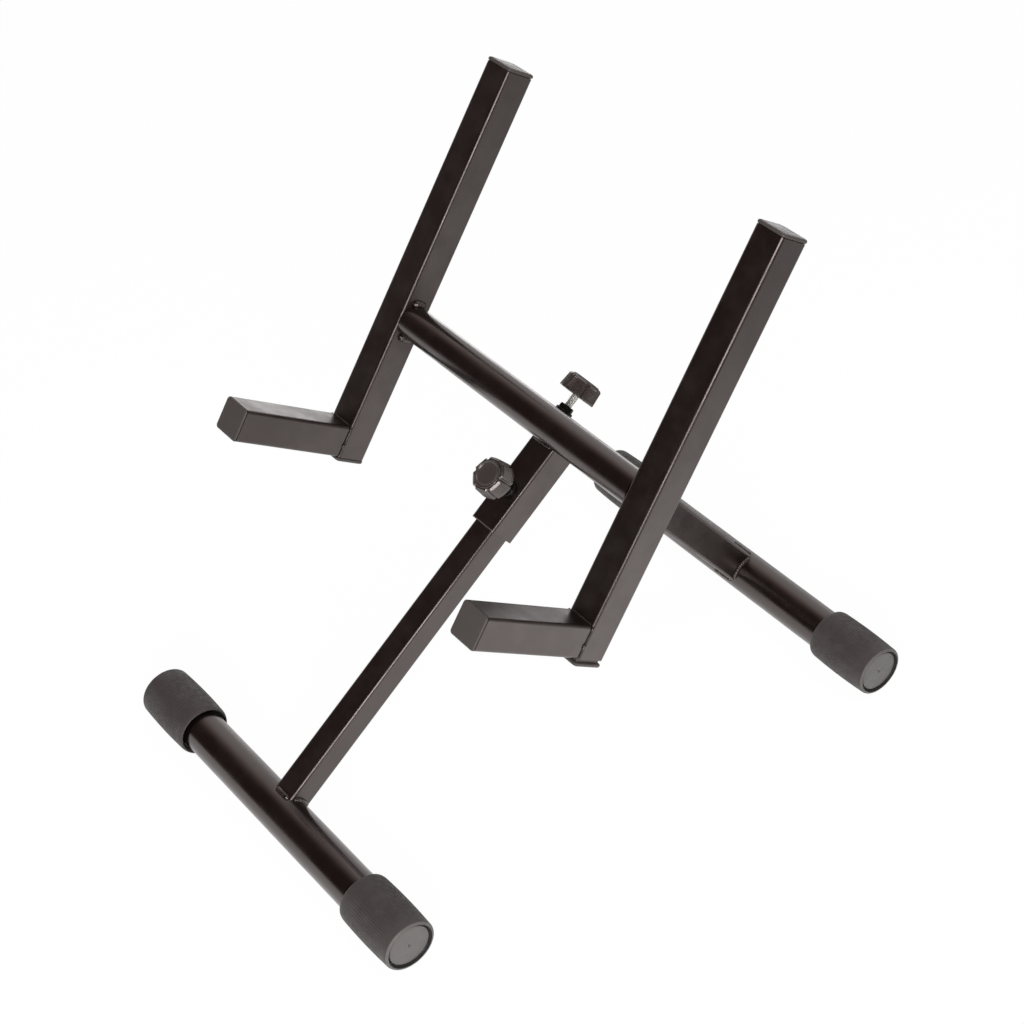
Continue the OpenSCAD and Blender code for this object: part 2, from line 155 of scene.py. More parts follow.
class Finish(Nodes):
    """A material built round one Principled shader."""

    def __init__(self, name, colour, roughness, **sockets):
        self.material = bpy.data.materials.new(name)
        self.material.use_nodes = True
        super().__init__(self.material.node_tree)
        self.shader = self.tree.nodes["Principled BSDF"]
        self.shader.inputs["Base Color"].default_value = (*colour, 1)
        self.shader.inputs["Roughness"].default_value = roughness
        for socket, value in sockets.items():
            self.shader.inputs[socket.replace("_", " ")].default_value = value
        self.position = self.add("ShaderNodeTexCoord").outputs["Object"]
        self.normal = None

    def drive(self, name, value):
        """Links another node's output to one of the shader's sockets."""
        self.feed(self.shader.inputs[name], value)

    def noise(self, size, detail, at=None, roughness=0.55):
        """Noise with features of about the given size in metres."""
        place = {"Vector": at or self.position, "Scale": 1 / size}
        inputs = {**place, "Detail": detail, "Roughness": roughness}
        return self.add("ShaderNodeTexNoise", inputs).outputs["Fac"]

    def patches(self, size, detail, low, high, to_low=0.0, to_high=1.0):
        """Noise of a size put through a ramp, which leaves patches."""
        return self.ramp(self.noise(size, detail), low, high, to_low, to_high)

    def wander(self, size, low, high):
        """A value that wanders between low and high over patches of a size."""
        return self.patches(size, 3, 0.3, 0.7, low, high)

    def in_tube(self, matrix, stretch=1):
        """The position in a tube's own frame, with features drawn out along the tube."""
        place = {"Location": matrix.translation, "Rotation": matrix.to_euler()}
        inputs = {"Vector": self.position, **place}
        local = self.add("ShaderNodeMapping", inputs, vector_type="TEXTURE").outputs[0]
        inputs = {"Vector": local, "Scale": (1, 1, 1 / stretch)}
        return self.add("ShaderNodeMapping", inputs).outputs[0]

    def mix(self, mask, colour):
        """Lays a colour over what the shader has, where the mask is 1."""
        socket = self.shader.inputs["Base Color"]
        under = socket.links[0].from_socket if socket.is_linked else tuple(socket.default_value)
        self.drive("Base Color", self.two_colours(mask, under, (*colour, 1)))

    def dust(self, amount=0.6):
        """Fine pale specks, thicker in some places than in others."""
        specks = self.patches(0.9 * MM, 2, 0.70, 0.80)
        drifts = self.patches(22 * MM, 2, 0.42, 0.66)
        self.mix(self.product(specks, drifts, amount), DUST)

    def bump(self, height, depth, strength):
        """Raises the surface by height times depth, in metres, on top of earlier bumps."""
        inputs = {"Height": height, "Distance": depth, "Strength": strength}
        if self.normal:
            inputs["Normal"] = self.normal
        self.normal = self.add("ShaderNodeBump", inputs).outputs["Normal"]
        self.drive("Normal", self.normal)


BLACK = (0.0042, 0.0026, 0.0021)
WORN_BLACK = (0.009, 0.0058, 0.0048)
NUT_BLACK = (0.006, 0.0045, 0.004)
CAP_BLACK = (0.08, 0.068, 0.064)
KNOB_BLACK = (0.042, 0.033, 0.03)
DISC_BLACK = (0.06, 0.048, 0.044)
DUST = (0.16, 0.15, 0.14)
BARE_STEEL = (0.30, 0.29, 0.28)
# The pale colour of a painted highlight along a cut end's edge.
EDGE_HIGHLIGHT_GREY = (0.125, 0.108, 0.1)
ZINC_BRIGHT = (0.96, 0.96, 0.93)
ZINC_DULL = (0.85, 0.86, 0.8)
PAINT = {"IOR": 1.8, "Specular_Tint": (1.0, 0.84, 0.8, 1)}
# The paint's specular level, and the far lower level that paints shade into the groove at a lip's joint.
PAINT_GLOSS, CREVICE_SHADE_GLOSS = 0.5, 0.04

# How far in from a square tube's sides a mark on it starts to change, and has changed.
CORNER_WEAR_IN = (2.2 * MM, 0.9 * MM)
# the band of painted shade in the groove at a lip's joint
CREVICE_SHADE_IN = (1.4 * MM, 0.6 * MM)
# the pale painted highlight on a cut end's edge
EDGE_HIGHLIGHT_IN = (0.7 * MM, 0.2 * MM)
# How far along the tube from a joint or an end the mark there starts to fade, and is gone.
# the painted shade at a lip's joint
CREVICE_SHADE_ALONG = (1.1 * MM, 2 * MM)
# the painted highlight at a cut end
EDGE_HIGHLIGHT_ALONG = (0.7 * MM, 1.2 * MM)


def tube_paint(name, matrix, tube, joint=None, end=None):
    """Semi-gloss black paint on a square tube: orange peel, drawn grain, dust and worn corners.

    A joint is the distance along the tube at which its sides meet another tube; there a narrow band has most of
    its gloss taken off, as painted shade in the groove.
    An end is the distance along it of a cut end whose edge gets a pale painted highlight on its front and back.
    """
    finish = Finish(name, BLACK, 0.3, **PAINT)
    grain = finish.noise(1.4 * MM, 3, at=finish.in_tube(matrix, 14))
    finish.mix(finish.patches(7 * MM, 4, 0.35, 0.75, 0, 0.55), WORN_BLACK)
    finish.dust()
    x, y, z = finish.axes(finish.in_tube(matrix))
    x_off, y_off = (finish.math("ABSOLUTE", axis) for axis in (x, y))

    def across(off, insets, *levels):
        """A ramp over a distance from the tube's middle, between two insets from its side."""
        low, high = (tube / 2 - inset for inset in insets)
        return finish.ramp(off, low, high, *levels)

    def past(place, distances, level):
        """A level that fades to 0 past a place along the tube."""
        low, high = (place + distance for distance in distances)
        return finish.ramp(z, low, high, level, 0)

    corner = across(finish.math("MINIMUM", x_off, y_off), CORNER_WEAR_IN)
    chips = finish.ramp(finish.noise(2.6 * MM, 5, roughness=0.7), 0.66, 0.74)
    finish.mix(finish.product(corner, chips, 0.5), BARE_STEEL)
    if joint is not None:
        # Painted shade: most of the gloss goes in a narrow band where the lip meets the arm.
        crevice_shade = finish.product(past(joint, CREVICE_SHADE_ALONG, 1), across(x_off, CREVICE_SHADE_IN))
        finish.drive("Specular IOR Level", finish.ramp(crevice_shade, 0, 1, PAINT_GLOSS, CREVICE_SHADE_GLOSS))
    if end is not None:
        # Painted highlight: a pale band on the front and back of the cut end's edge.
        rubbed = finish.product(past(end, EDGE_HIGHLIGHT_ALONG, 0.9), across(x_off, EDGE_HIGHLIGHT_IN, 1, 0))
        finish.mix(rubbed, EDGE_HIGHLIGHT_GREY)
    smear = finish.wander(18 * MM, 0.27, 0.38)
    finish.drive("Roughness", finish.math("ADD", smear, finish.product(grain, 0.06)))
    finish.bump(finish.noise(1.6 * MM, 2), 0.05 * MM, 0.55)
    finish.bump(grain, 0.03 * MM, 0.35)
    return finish.material


def round_tube_paint():
    """Gloss black paint on the round tubes, smoother than on the square ones."""
    finish = Finish("round_tube_paint", BLACK, 0.2, **PAINT)
    finish.mix(finish.patches(9 * MM, 4, 0.4, 0.8, 0, 0.5), WORN_BLACK)
    finish.dust(0.45)
    finish.drive("Roughness", finish.wander(25 * MM, 0.19, 0.3))
    finish.bump(finish.noise(2.2 * MM, 2), 0.05 * MM, 0.35)
    return finish.material


def weld_paint():
    """Thick gloss paint over weld beads, with specks of spatter."""
    finish = Finish("weld_paint", BLACK, 0.24, **PAINT)
    finish.drive("Roughness", finish.wander(3 * MM, 0.16, 0.4))
    finish.bump(finish.noise(0.9 * MM, 4), 0.22 * MM, 0.8)
    return finish.material


def nut_paint():
    """Paint on the weld nuts, thin and rubbed in spots."""
    finish = Finish("nut_paint", NUT_BLACK, 0.42, IOR=1.5, Specular_IOR_Level=0.25)
    finish.mix(finish.patches(1.5 * MM, 4, 0.6, 0.74, 0, 0.25), BARE_STEEL)
    finish.bump(finish.noise(0.7 * MM, 3), 0.05 * MM, 0.7)
    return finish.material


def plastic(name, colour, roughness, grain, **sockets):
    """Moulded black plastic with a fine spark-eroded grain of a given depth."""
    finish = Finish(name, colour, roughness, **sockets)
    finish.drive("Roughness", finish.wander(6 * MM, roughness - 0.05, roughness + 0.06))
    finish.dust(0.3)
    finish.bump(finish.noise(0.35 * MM, 2), grain, 0.6)
    return finish.material


def zinc():
    """Bright zinc plate on the clamp screws, dulled in patches."""
    finish = Finish("zinc_plate", ZINC_BRIGHT, 0.4, Metallic=0.6)
    finish.mix(finish.patches(2.5 * MM, 3, 0.45, 0.7, 0, 0.5), ZINC_DULL)
    finish.drive("Roughness", finish.wander(1.5 * MM, 0.34, 0.5))
    return finish.material


ROUND_PAINT = round_tube_paint()
WELD_PAINT = weld_paint()
NUT_PAINT = nut_paint()
CAP_PLASTIC = plastic("cap_plastic", CAP_BLACK, roughness=0.44, grain=0.03 * MM,
                      IOR=1.5, Specular_IOR_Level=0.3)
KNOB_PLASTIC = plastic("knob_plastic", KNOB_BLACK, roughness=0.22, grain=0.02 * MM,
                       IOR=1.8, Specular_Tint=(1, 0.9, 0.87, 1))
DISC_PLASTIC = plastic("disc_plastic", DISC_BLACK, roughness=0.22, grain=0.01 * MM, IOR=1.65)
ZINC = zinc()

# ---- Mesh building ----


def new_piece(name, shape, material, matrix, body, replaced):
    """A smooth piece of points and faces that stands for CAD nodes and rides on their body."""
    points, faces = shape
    mesh = bpy.data.meshes.new(name)
    mesh.from_pydata(points, [], faces)
    mesh.polygons.foreach_set("use_smooth", [True] * len(mesh.polygons))
    mesh.materials.append(material)
    piece = bpy.data.objects.new(name, mesh)
    bpy.context.scene.collection.objects.link(piece)
    piece.matrix_world = matrix
    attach(piece, body)
    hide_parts(*replaced)
    return piece


def crisp(piece, angle):
    """Keeps edges sharper than the angle, in degrees, sharp in a smooth mesh."""
    piece.data.set_sharp_from_angle(angle=math.radians(angle))


def arc(radius, z, r, start, end, steps):
    """Points (radius, z) on an arc of radius r round (radius, z), between two angles in degrees."""
    turns = [math.radians(start + (end - start) * k / steps) for k in range(steps + 1)]
    return [(radius + r * math.cos(a), z + r * math.sin(a)) for a in turns]


def skin(rings, closed):
    """Quads between closed rings of point numbers, and a fan where a ring is one point."""
    faces = []
    for low, high in zip(rings, rings[1:] + rings[:1] if closed else rings[1:]):
        count = max(len(low), len(high))
        for k in range(count):
            after = (k + 1) % count
            below = low[k % len(low)], low[after % len(low)]
            above = high[after % len(high)], high[k % len(high)]
            faces.append(tuple(dict.fromkeys(below + above)))
    return faces


def lathe(profile, segments, relief=None, closed=False):
    """Points and faces of a profile of (radius, z) turned round Z.

    A relief is a function of the radius, z and the angle that gives the true radius.
    """
    points, rings = [], []
    for r, z in profile:
        count = segments if r > 0 else 1
        rings.append(range(len(points), len(points) + count))
        for k in range(count):
            a = TURN * k / segments
            true_r = relief(r, z, a) if relief and r > 0 else r
            points.append((true_r * math.cos(a), true_r * math.sin(a), z))
    return points, skin(rings, closed)


def joined(parts):
    """One list of points and one of faces from several."""
    points, faces = [], []
    for more_points, more_faces in parts:
        first = len(points)
        points += more_points
        faces += [tuple(first + k for k in face) for face in more_faces]
    return points, faces


def smooth_step(value, low, high):
    """0 below low, 1 above high, and smooth between."""
    t = min(1.0, max(0.0, (value - low) / (high - low)))
    return t * t * (3 - 2 * t)


def wave(angle):
    """0 at no turn and at every whole turn, 1 half a turn on, and smooth between."""
    return 0.5 - 0.5 * math.cos(angle)


# ---- Rubber feet ----

FOOT_RIBS = 64
RIB_DEPTH = 0.26 * MM
RIB_SAMPLES = 8
RIB_FADE_IN = (3 * MM, 12 * MM)
RIB_FADE_OUT = (10 * MM, 2 * MM)
FOOT_LEN = size_along("front_foot_left", SIDE)
FOOT_R = size_along("front_foot_left", UP) / 2
FOOT_BULGE = 1.4 * MM
BULGE_START, BULGE_SPAN = 0.12, 0.72
FOOT_RIM_W = 2.3 * MM
FOOT_RECESS = 1.6 * MM
FOOT_GROOVE = 3.2 * MM
FOOT_GROOVE_W = 1.9 * MM
FOOT_LIP_W, FOOT_LIP_H = 1.6 * MM, 5 * MM
FOOT_EDGE_R = 2.4 * MM
FINE_EDGE_R = 0.4 * MM
FOOT_MOUTH_GAP = 2.6 * MM
FOOT_MOUTH_DEPTH = 6 * MM
FOOT_MOUTH_TAPER = 1.5 * MM
FOOT_BORE_GAP = 0.1 * MM
FOOT_FLOOR = 5 * MM
DIMPLE_R = 1.3 * MM
# Shares of the dimple's radius, and its depths there in millimetres.
DIMPLE = ((0, 0.9), (0.6, 0.8), (1, 0))
DISC_FACE_RINGS, BODY_RINGS = 6, 24
RUBBER_DARK, RUBBER_PALE = (0.047, 0.0375, 0.0355), (0.07, 0.06, 0.057)
# Painted light: the end disc's colour, paler where it faces the light.
DISC_PAINTED_LIGHT = (0.108, 0.098, 0.093)
# Painted highlight on the rim round the end, and how far up the end it goes.
RIM_PAINTED_HIGHLIGHT = (0.13, 0.118, 0.112)
RIM_PAINTED_HIGHLIGHT_H = 1.3 * MM
# Painted shade in the groove and on the recess wall, and how far in from the end it starts.
GROOVE_PAINTED_SHADE = (0.006, 0.004, 0.004)
GROOVE_PAINTED_SHADE_Z = 0.3 * MM
MASK_MARGIN = 0.1 * MM


def foot_side(z):
    """A foot's outer radius, fattest a little nearer its mouth than its closed end."""
    return FOOT_R - FOOT_BULGE * (1 - math.sin(math.pi * (BULGE_START + BULGE_SPAN * z / FOOT_LEN)))


RECESS_R = foot_side(FOOT_EDGE_R) - FOOT_RIM_W
RECESS_DISC_R = RECESS_R - FOOT_GROOVE_W
GROOVE_MIDDLE = (FOOT_RECESS + FOOT_GROOVE) / 2


def foot_rubber():
    """Charcoal rubber, matt and finely grained; in a foot's end a smooth disc painted paler as if lit, a painted
    highlight on the rim and painted shade in the groove.
    """
    finish = Finish("foot_rubber", RUBBER_DARK, 0.62, IOR=1.5, Sheen_Weight=0.1)
    finish.mix(finish.patches(13 * MM, 3, 0.38, 0.68, 0, 0.6), RUBBER_PALE)
    x, y, z = finish.axes(finish.position)
    squares = (finish.math("POWER", axis, 2) for axis in (x, y))
    radius = finish.math("SQRT", finish.math("ADD", *squares))

    def over(value, limit):
        return finish.math("GREATER_THAN", value, limit)

    def under(value, limit):
        return finish.math("LESS_THAN", value, limit)

    # Painted light: the end disc made paler, as if lit.
    disc = finish.product(under(radius, RECESS_DISC_R), under(z, GROOVE_MIDDLE))
    finish.mix(disc, DISC_PAINTED_LIGHT)
    # Painted highlight on the rim round the end.
    rim = finish.product(over(radius, RECESS_R - MASK_MARGIN), under(z, RIM_PAINTED_HIGHLIGHT_H))
    finish.mix(rim, RIM_PAINTED_HIGHLIGHT)
    # Painted shade in the groove and on the recess wall round the disc.
    beyond_disc = over(radius, RECESS_DISC_R + MASK_MARGIN / 2)
    ring = finish.product(beyond_disc, under(radius, RECESS_R + MASK_MARGIN))
    sunk = finish.product(over(z, GROOVE_PAINTED_SHADE_Z), under(z, GROOVE_MIDDLE + FOOT_GROOVE))
    finish.mix(finish.product(ring, sunk), GROOVE_PAINTED_SHADE)
    finish.dust(0.5)
    matt = finish.wander(4 * MM, 0.55, 0.72)
    finish.drive("Roughness", finish.math("SUBTRACT", matt, finish.product(disc, 0.27)))
    finish.bump(finish.noise(0.5 * MM, 3), 0.06 * MM, 0.6)
    return finish.material


def foot_profile():
    """From the closed end's dimple over the ribbed side and into the mouth, to the bore's floor."""
    end_r = foot_side(FOOT_EDGE_R)
    lip_z = FOOT_LEN - FOOT_LIP_H
    lip_r = foot_side(lip_z)
    mouth_r = BASE_R + FOOT_MOUTH_GAP
    mouth_z = FOOT_LEN - FOOT_MOUTH_DEPTH
    bore_r = BASE_R + FOOT_BORE_GAP
    edge = FINE_EDGE_R
    profile = [(share * DIMPLE_R, FOOT_RECESS + depth * MM) for share, depth in DIMPLE]
    steps = range(1, DISC_FACE_RINGS)
    profile += [(RECESS_DISC_R * k / DISC_FACE_RINGS, FOOT_RECESS) for k in steps]
    profile += arc(RECESS_DISC_R - edge, FOOT_RECESS + edge, edge, 270, 360, 4)
    profile += [(RECESS_DISC_R, FOOT_GROOVE), (RECESS_R, FOOT_GROOVE)]
    profile += arc(RECESS_R + edge, edge, edge, 180, 270, 4)
    profile += arc(end_r - FOOT_EDGE_R, FOOT_EDGE_R, FOOT_EDGE_R, -78, 0, 8)
    span = lip_z - FOOT_EDGE_R
    heights = [FOOT_EDGE_R + span * k / BODY_RINGS for k in range(1, BODY_RINGS)]
    profile += [(foot_side(z), z) for z in heights]
    profile += [(lip_r - FOOT_LIP_W * (1 - math.cos(a)), lip_z + FOOT_LIP_H * math.sin(a))
                for a in (math.radians(8 * k) for k in range(11))]
    profile += arc(mouth_r + edge, FOOT_LEN - edge, edge, 90, 180, 3)
    profile += [(mouth_r, mouth_z), (bore_r, mouth_z - FOOT_MOUTH_TAPER)]
    profile += [(bore_r, FOOT_FLOOR), (0, FOOT_FLOOR)]
    return profile


def ribbed(r, z, angle):
    """Fine rounded ribs along the foot that fade out at its closed edge and round its lip."""
    if r < foot_side(z) - FOOT_LIP_W:
        return r
    out_from, out_to = (FOOT_LEN - distance for distance in RIB_FADE_OUT)
    fade = smooth_step(z, *RIB_FADE_IN) * (1 - smooth_step(z, out_from, out_to))
    return r - RIB_DEPTH * fade * wave(FOOT_RIBS * angle) ** 3


def make_foot(base, body, side, sign):
    """One rubber foot, ribbed along its length, with a recessed disc in its closed end."""
    node = f"{base}_foot_{side}"
    axis = centre(f"{base}_base_tube")
    end = Vector((sign * max(abs(x) for x in reach(node, SIDE)), axis.y, axis.z))
    shape = lathe(foot_profile(), FOOT_RIBS * RIB_SAMPLES, ribbed)
    matrix = placed(end, -sign * SIDE, UP)
    new_piece(f"{node}_ribbed", shape, RUBBER, matrix, body, [node])


RUBBER = foot_rubber()
for base, body in (("front", "front_leg_unit"), ("rear", "frame")):
    for side, sign in SIDES:
        make_foot(base, body, side, sign)

# ---- Knobs, discs, screws and nuts ----

SCREW_R = 3 * MM
HEAD_H = 3 * MM
HEAD_EDGE = 0.3 * MM
HEAD_TOP_EDGE_W, HEAD_TOP_EDGE_H = 0.5 * MM, 0.4 * MM
PITCH = 1 * MM
THREAD_DEPTH = 0.55 * MM
THREAD_FLANK = 2.3
THREAD_STEPS = 7
TIP_SHARE = 0.72
TIP_LENGTH = (-0.2 * MM, 1.4 * MM)
NUT_FLATS = 10 * MM
NUT_FLANGE_H = 2.4 * MM
NUT_FLANGE_EDGE_R = 0.9 * MM
NUT_FILLET_W, NUT_FILLET_H = 0.15 * MM, 0.2 * MM
# How far in from the nut's corners and down from its top its chamfer runs, in millimetres.
NUT_CHAMFER = ((0.0, 1.25), (0.35, 0.6), (0.8, 0.15), (1.5, 0.0))
NUT_BORE_GAP = 0.05 * MM
NUT_BORE_EDGE = 0.5 * MM
KNOB_LOBES = 6
KNOB_RIBS = 72
KNOB_RIB_DEPTH = 0.35 * MM
KNOB_RIB_FADE_IN = (0.6 * MM, 1.4 * MM)
KNOB_RIB_FADE_OUT = 0.4 * MM
# The groove under the knob, as radii and heights in millimetres.
KNOB_UNDERSIDE = ((5, 0), (5.6, 0.5), (9.5, 0.5), (10.2, 0))
KNOB_EDGE_R = 0.7 * MM
KNOB_TAPER = 1.1 * MM
KNOB_CHAMFER = 1.7 * MM
KNOB_SIDE_RINGS, KNOB_CHAMFER_RINGS = 12, 14
CHAMFER_TOP_R = 11.5 * MM
CHAMFER_SLOPE = 1.05
LOBE_FLATNESS = 0.3
LOBE_INSET = 0.4 * MM
NOTCH_HALF_W = (math.radians(7), math.radians(11))
NOTCH_DEPTH = (1.3 * MM, 2.2 * MM)
KNOB_TURN = {"upper": math.radians(21), "lower": math.radians(14)}
KNOB_GAP = 0.1 * MM
SEAT_CHAMFER_W, SEAT_CHAMFER_H = 0.6 * MM, 0.7 * MM
SEAT_MARGIN, SEAT_WALL = 0.3 * MM, 0.25 * MM
DISC_RIM = 0.6 * MM
DISC_DEPTH = 1.6 * MM
DISC_RINGS = 16
DISH_POWER = 6
DISC_SEGMENTS, SCREW_SEGMENTS, NUT_SEGMENTS = 128, 72, 96


class Clamp:
    """The places of one clamp, measured along its screw from its knob's base."""

    def __init__(self, name):
        self.name = name
        self.knob_body = f"{name}_knob_body"
        turn = joints[f"{name}_knob_turn"]
        self.out = Vector(turn["axis"])
        self.base = Vector(turn["pos_m"])
        self.matrix = placed(self.base, self.out)
        self.knob_h = self.span("knob")[1]
        self.knob_r = self.radius("knob")
        self.disc = self.span("knob_disc")
        self.disc_r = self.radius("knob_disc")
        self.screw = self.span("clamp_screw")
        self.head_r = self.radius("clamp_screw")
        self.nut = self.span("weld_nut")
        self.flange_r = self.radius("weld_nut")

    def span(self, part):
        """Where a part begins and ends along the screw."""
        zero = self.base.dot(self.out)
        return tuple(value - zero for value in reach(f"{self.name}_{part}", self.out))

    def radius(self, part):
        """A part's greatest radius round the screw."""
        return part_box(f"{self.name}_{part}")[1].x

    def make(self, part, suffix, shape, material, body, slot, angle):
        """A piece that stands for one of the clamp's nodes, with edges crisp above an angle."""
        node = f"{self.name}_{part}"
        name = f"{node}_{suffix}"
        crisp(new_piece(name, shape, material, self.matrix, body, [node]), angle)


def notched(clamp):
    """A knob's relief: flattish ribbed lobes, notches between them and a flat cut above each."""

    def relief(r, z, angle):
        if r < clamp.disc_r + SEAT_MARGIN:
            return r
        lobe = TURN / KNOB_LOBES
        off = abs((angle - KNOB_TURN[clamp.name] + lobe / 2) % lobe - lobe / 2)
        rise = min(1.0, max(0.0, z / clamp.knob_h))
        depth, half = (low + (high - low) * rise**2 for low, high in (NOTCH_DEPTH, NOTCH_HALF_W))
        notch = depth * (1 - wave(math.pi * min(1.0, off / half)))
        flat = 1 / math.cos(lobe / 2 - off)
        top = clamp.knob_h - KNOB_CHAMFER
        fade_out = 1 - smooth_step(z, top, top + KNOB_RIB_FADE_OUT)
        fade = smooth_step(z, *KNOB_RIB_FADE_IN) * fade_out
        rib = KNOB_RIB_DEPTH * fade * wave(KNOB_RIBS * angle) ** 2
        cone = CHAMFER_TOP_R + CHAMFER_SLOPE * (clamp.knob_h - z)
        side = (r - LOBE_INSET - rib) * (1 + LOBE_FLATNESS * (flat - 1))
        return max(clamp.disc_r + SEAT_WALL, min(cone * flat, side) - notch)

    return relief


def make_knob(clamp):
    """A lobed and ribbed knob with a chamfered top and a seat for its disc."""
    top = clamp.knob_h
    floor = clamp.disc[0]
    bore_r = SCREW_R + KNOB_GAP
    pocket_r = clamp.head_r + KNOB_GAP
    seat_r = clamp.disc_r + KNOB_GAP
    head_z = clamp.screw[1] - HEAD_H - KNOB_GAP
    profile = [(bore_r, 0)] + [(r * MM, z * MM) for r, z in KNOB_UNDERSIDE]
    profile += arc(clamp.knob_r - KNOB_EDGE_R, KNOB_EDGE_R, KNOB_EDGE_R, -90, -5, 5)
    side_h = top - KNOB_CHAMFER - KNOB_EDGE_R
    steps = range(1, KNOB_SIDE_RINGS + 1)
    rings = [KNOB_EDGE_R + side_h * k / KNOB_SIDE_RINGS for k in steps]
    steps = range(1, KNOB_CHAMFER_RINGS + 1)
    rings += [top - KNOB_CHAMFER * (1 - k / KNOB_CHAMFER_RINGS) for k in steps]
    profile += [(clamp.knob_r - KNOB_TAPER * z / top, z) for z in rings]
    profile += [(seat_r + SEAT_CHAMFER_W, top), (seat_r, top - SEAT_CHAMFER_H), (seat_r, floor)]
    profile += [(pocket_r, floor), (pocket_r, head_z), (bore_r, head_z)]
    shape = lathe(profile, KNOB_RIBS * RIB_SAMPLES, notched(clamp), closed=True)
    clamp.make("knob", "ribbed", shape, KNOB_PLASTIC, clamp.knob_body, "knob_plastic", angle=40)


def make_disc(clamp):
    """The dished disc in a knob's end, with a raised round rim."""
    low, high = clamp.disc
    r = clamp.disc_r
    rim_z = high - DISC_RIM
    dish = [(r - 2 * DISC_RIM) * k / DISC_RINGS for k in range(DISC_RINGS, 0, -1)]
    profile = [(0, low), (r, low), (r, rim_z)]
    profile += arc(r - DISC_RIM, rim_z, DISC_RIM, 15, 150, 8)
    profile += [(x, rim_z - DISC_DEPTH * (1 - (x / dish[0]) ** DISH_POWER)) for x in dish]
    profile += [(0, rim_z - DISC_DEPTH)]
    shape = lathe(profile, DISC_SEGMENTS)
    clamp.make("knob_disc", "dished", shape, DISC_PLASTIC, clamp.knob_body, "knob_disc", angle=50)


def make_screw(clamp):
    """A clamp screw with a true helical thread, a pointed tip and a round head inside the knob."""
    low, high = clamp.screw
    head_r = clamp.head_r
    head_z = high - HEAD_H
    steps = int((head_z - low) / (PITCH / THREAD_STEPS))
    profile = [(0, low)]
    profile += [(SCREW_R, low + (head_z - low) * (k + 1) / (steps + 1)) for k in range(steps)]
    profile += [(SCREW_R, head_z), (head_r - HEAD_EDGE, head_z), (head_r, head_z + HEAD_EDGE)]
    profile += [(head_r, high - HEAD_TOP_EDGE_H), (head_r - HEAD_TOP_EDGE_W, high), (0, high)]

    def thread(r, z, angle):
        if z >= head_z - 0.5 * PITCH:
            return r
        phase = (z / PITCH - angle / TURN) % 1.0
        groove = THREAD_DEPTH * min(1.0, THREAD_FLANK * abs(phase - 0.5))
        return (r - groove) * (TIP_SHARE + (1 - TIP_SHARE) * smooth_step(z - low, *TIP_LENGTH))

    shape = lathe(profile, SCREW_SEGMENTS, thread)
    clamp.make("clamp_screw", "threaded", shape, ZINC, f"{clamp.name}_screw", "zinc", angle=60)


def make_nut(clamp):
    """A hexagon weld nut with chamfered corners, standing on its flange."""
    low, high = clamp.nut
    flange_z = low + NUT_FLANGE_H
    corner_r = NUT_FLATS / 2 / math.cos(math.pi / 6)
    bore_r = SCREW_R + NUT_BORE_GAP
    edge = NUT_FLANGE_EDGE_R
    profile = [(bore_r, low), (clamp.flange_r, low)]
    profile += arc(clamp.flange_r - edge, flange_z - edge, edge, 0, 90, 5)
    profile += [(corner_r + NUT_FILLET_W, flange_z), (corner_r, flange_z + NUT_FILLET_H)]
    profile += [(corner_r - inset * MM, high - drop * MM) for inset, drop in NUT_CHAMFER]
    profile += [(bore_r + NUT_BORE_EDGE, high), (bore_r, high - NUT_BORE_EDGE)]

    def hexagon(r, z, angle):
        if z < flange_z + NUT_FILLET_H / 2 or r < bore_r + 1.2 * NUT_BORE_EDGE:
            return r
        sixth = TURN / 6
        return min(r, NUT_FLATS / 2 / math.cos((angle % sixth) - sixth / 2))

    shape = lathe(profile, NUT_SEGMENTS, hexagon, closed=True)
    clamp.make("weld_nut", "hex", shape, NUT_PAINT, "frame", "nut_paint", angle=28)


for clamp in (Clamp("upper"), Clamp("lower")):
    make_knob(clamp)
    make_disc(clamp)
    make_screw(clamp)
    make_nut(clamp)

# ---- Tube caps ----

PLUG_DEPTH = 12 * MM
PLUG_INSET = 1.7 * MM
PLUG_TAPER, PLUG_LEAD_IN = 0.8 * MM, 0.6 * MM
PLUG_CORNER_R, PLUG_TIP_CORNER_R = 0.9 * MM, 0.6 * MM
CAP_EDGE_R = 1.4 * MM
CAP_EDGE_STEPS = 5
CAP_SEAM = 0.8 * MM
CAP_DOME = 0.1 * MM
CAP_FLAT_SHARE = 0.55
FLANGE = {"cap": 3.2 * MM, "plug": 2 * MM}
CORNER_STEPS = 6


def square_ring(side, corner, z):
    """Points round a square with round corners, at one height."""
    straight = side / 2 - corner
    ring = []
    for quarter in range(4):
        middle = TURN * (quarter + 0.5) / 4
        x, y = math.copysign(straight, math.cos(middle)), math.copysign(straight, math.sin(middle))
        for k in range(CORNER_STEPS + 1):
            a = TURN * (quarter + k / CORNER_STEPS) / 4
            ring.append((x + corner * math.cos(a), y + corner * math.sin(a), z))
    return ring


